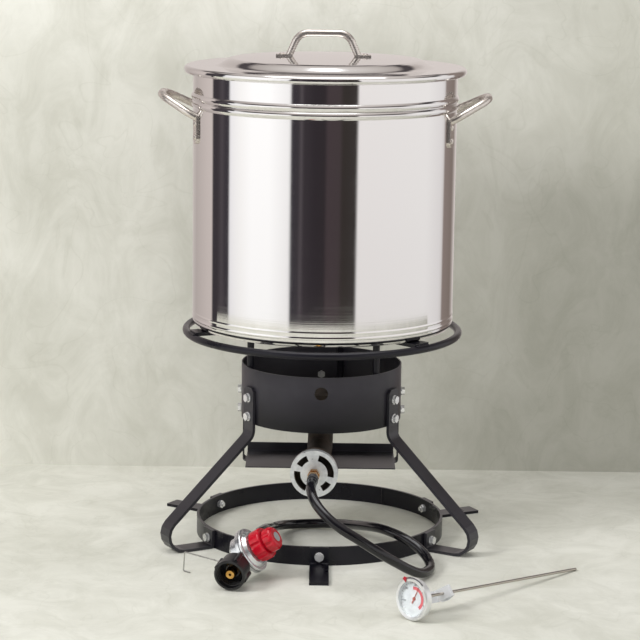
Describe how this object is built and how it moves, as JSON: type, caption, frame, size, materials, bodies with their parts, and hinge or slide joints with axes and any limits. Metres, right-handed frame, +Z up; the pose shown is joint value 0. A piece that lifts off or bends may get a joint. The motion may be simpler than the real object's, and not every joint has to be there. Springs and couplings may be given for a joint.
{
  "type": "turkey fryer kit",
  "caption": "Lidded stainless pot with loop handles on a black bolt-together propane burner stand, with a gas hose, regulator and dial thermometer.",
  "frame": {"origin": "on the floor, on the stand's own vertical axis", "axes": "+Z up along the stand's axis, -Y to the front where the venturi points, +X to the right as seen from the front"},
  "size_m": [0.5661, 0.6588, 0.6959],
  "materials": {
    "black_paint": "matte black paint",
    "zinc_hardware": "zinc plated",
    "cast_iron": "bare cast iron, slightly brown",
    "zinc_shutter": "bright zinc plated sheet",
    "brass": "turned brass",
    "black_ferrule": "black coated crimp ferrule",
    "steel_ferrule": "plated crimp ferrule",
    "black_rubber": "black rubber",
    "die_cast": "die-cast metal",
    "plain_steel": "plain steel",
    "red_plastic": "red moulded plastic",
    "grey_plastic": "grey moulded plastic",
    "black_plastic": "black moulded plastic",
    "polished_stainless": "polished stainless steel",
    "satin_stainless": "satin stainless steel",
    "thermometer_steel": "bright stainless steel",
    "white_dial": "printed white dial",
    "clear_lens": "clear glass",
    "needle_paint": "painted needle"
  },
  "bodies": {
    "stand": {"wind_guard": "black_paint", "top_ring": "black_paint", "pot_support_right": "black_paint", "pot_support_left": "black_paint", "pot_support_back": "black_paint", "leg_right": "black_paint", "leg_left": "black_paint", "leg_back": "black_paint", "base_ring": "black_paint", "foot_front": "black_paint", "foot_right": "black_paint", "foot_left": "black_paint", "heat_shield": "black_paint", "burner_bracket": "black_paint", "burner_casting": "cast_iron", "burner_cap": "cast_iron", "burner_bolts": "zinc_hardware", "guard_bolts": "zinc_hardware", "guard_nuts": "zinc_hardware", "base_bolts": "zinc_hardware", "base_nuts": "zinc_hardware", "orifice_fitting": "brass", "burner_ferrule": "black_ferrule", "gas_hose": "black_rubber", "regulator_ferrule": "steel_ferrule", "regulator_body": "die_cast", "regulator_diaphragm": "black_rubber", "regulator_bonnet": "die_cast", "regulator_spring": "plain_steel", "inlet_nipple": "brass", "nipple_seal": "black_rubber", "tie_wire": "plain_steel"},
    "pot": {"pot_shell": "polished_stainless", "pot_handle_right": "satin_stainless", "pot_handle_left": "satin_stainless", "pot_rivets": "satin_stainless"},
    "lid": {"lid_shell": "polished_stainless", "lid_handle": "satin_stainless", "lid_rivets": "satin_stainless"},
    "shutter": {"air_shutter": "zinc_shutter"},
    "knob": {"adjusting_screw": "plain_steel", "pressure_knob": "red_plastic", "knob_cap": "grey_plastic"},
    "nut": {"tank_nut": "black_plastic"},
    "thermometer": {"thermometer_stem": "thermometer_steel", "thermometer_case": "thermometer_steel", "thermometer_bezel": "thermometer_steel", "thermometer_dial": "white_dial", "thermometer_lens": "clear_lens"},
    "needle": {"thermometer_needle": "needle_paint"},
    "marker": {"target_marker": "red_plastic"},
    "clip": {"thermometer_clip": "thermometer_steel"}
  },
  "joints": [
    {"name": "pot_lift", "type": "slide", "parent": "stand", "child": "pot", "axis": [0, 0, 1], "range_m": [0, 0.4]},
    {"name": "lid_lift", "type": "slide", "parent": "pot", "child": "lid", "axis": [0, 0, 1], "range_m": [0, 0.25]},
    {"name": "shutter_turn", "type": "hinge", "parent": "stand", "child": "shutter", "pos_m": [-0.0083, -0.15838, 0.122], "axis": [-0.0523, -0.9986, 0], "range_deg": [-35, 35]},
    {"name": "knob_turn", "type": "hinge", "parent": "stand", "child": "knob", "pos_m": [-0.098, -0.229, 0.031], "axis": [0.7954, -0.2764, 0.5393], "range_deg": [0, 720]},
    {"name": "nut_spin", "type": "hinge", "parent": "stand", "child": "nut", "pos_m": [-0.098, -0.229, 0.031], "axis": [-0.2396, -0.9609, -0.1392], "continuous": true},
    {"name": "thermometer_lift", "type": "slide", "parent": "stand", "child": "thermometer", "axis": [0, 0, 1], "range_m": [0, 0.15]},
    {"name": "clip_slide", "type": "slide", "parent": "thermometer", "child": "clip", "axis": [0.711, 0.6987, -0.0788], "range_m": [0, 0.12]},
    {"name": "needle_turn", "type": "hinge", "parent": "thermometer", "child": "needle", "pos_m": [0.34, -0.177, 0.002], "axis": [-0.711, -0.6987, 0.0788], "range_deg": [-112, 158]},
    {"name": "marker_turn", "type": "hinge", "parent": "thermometer", "child": "marker", "pos_m": [0.34, -0.177, 0.002], "axis": [-0.711, -0.6987, 0.0788], "range_deg": [-60, 60]}
  ]
}
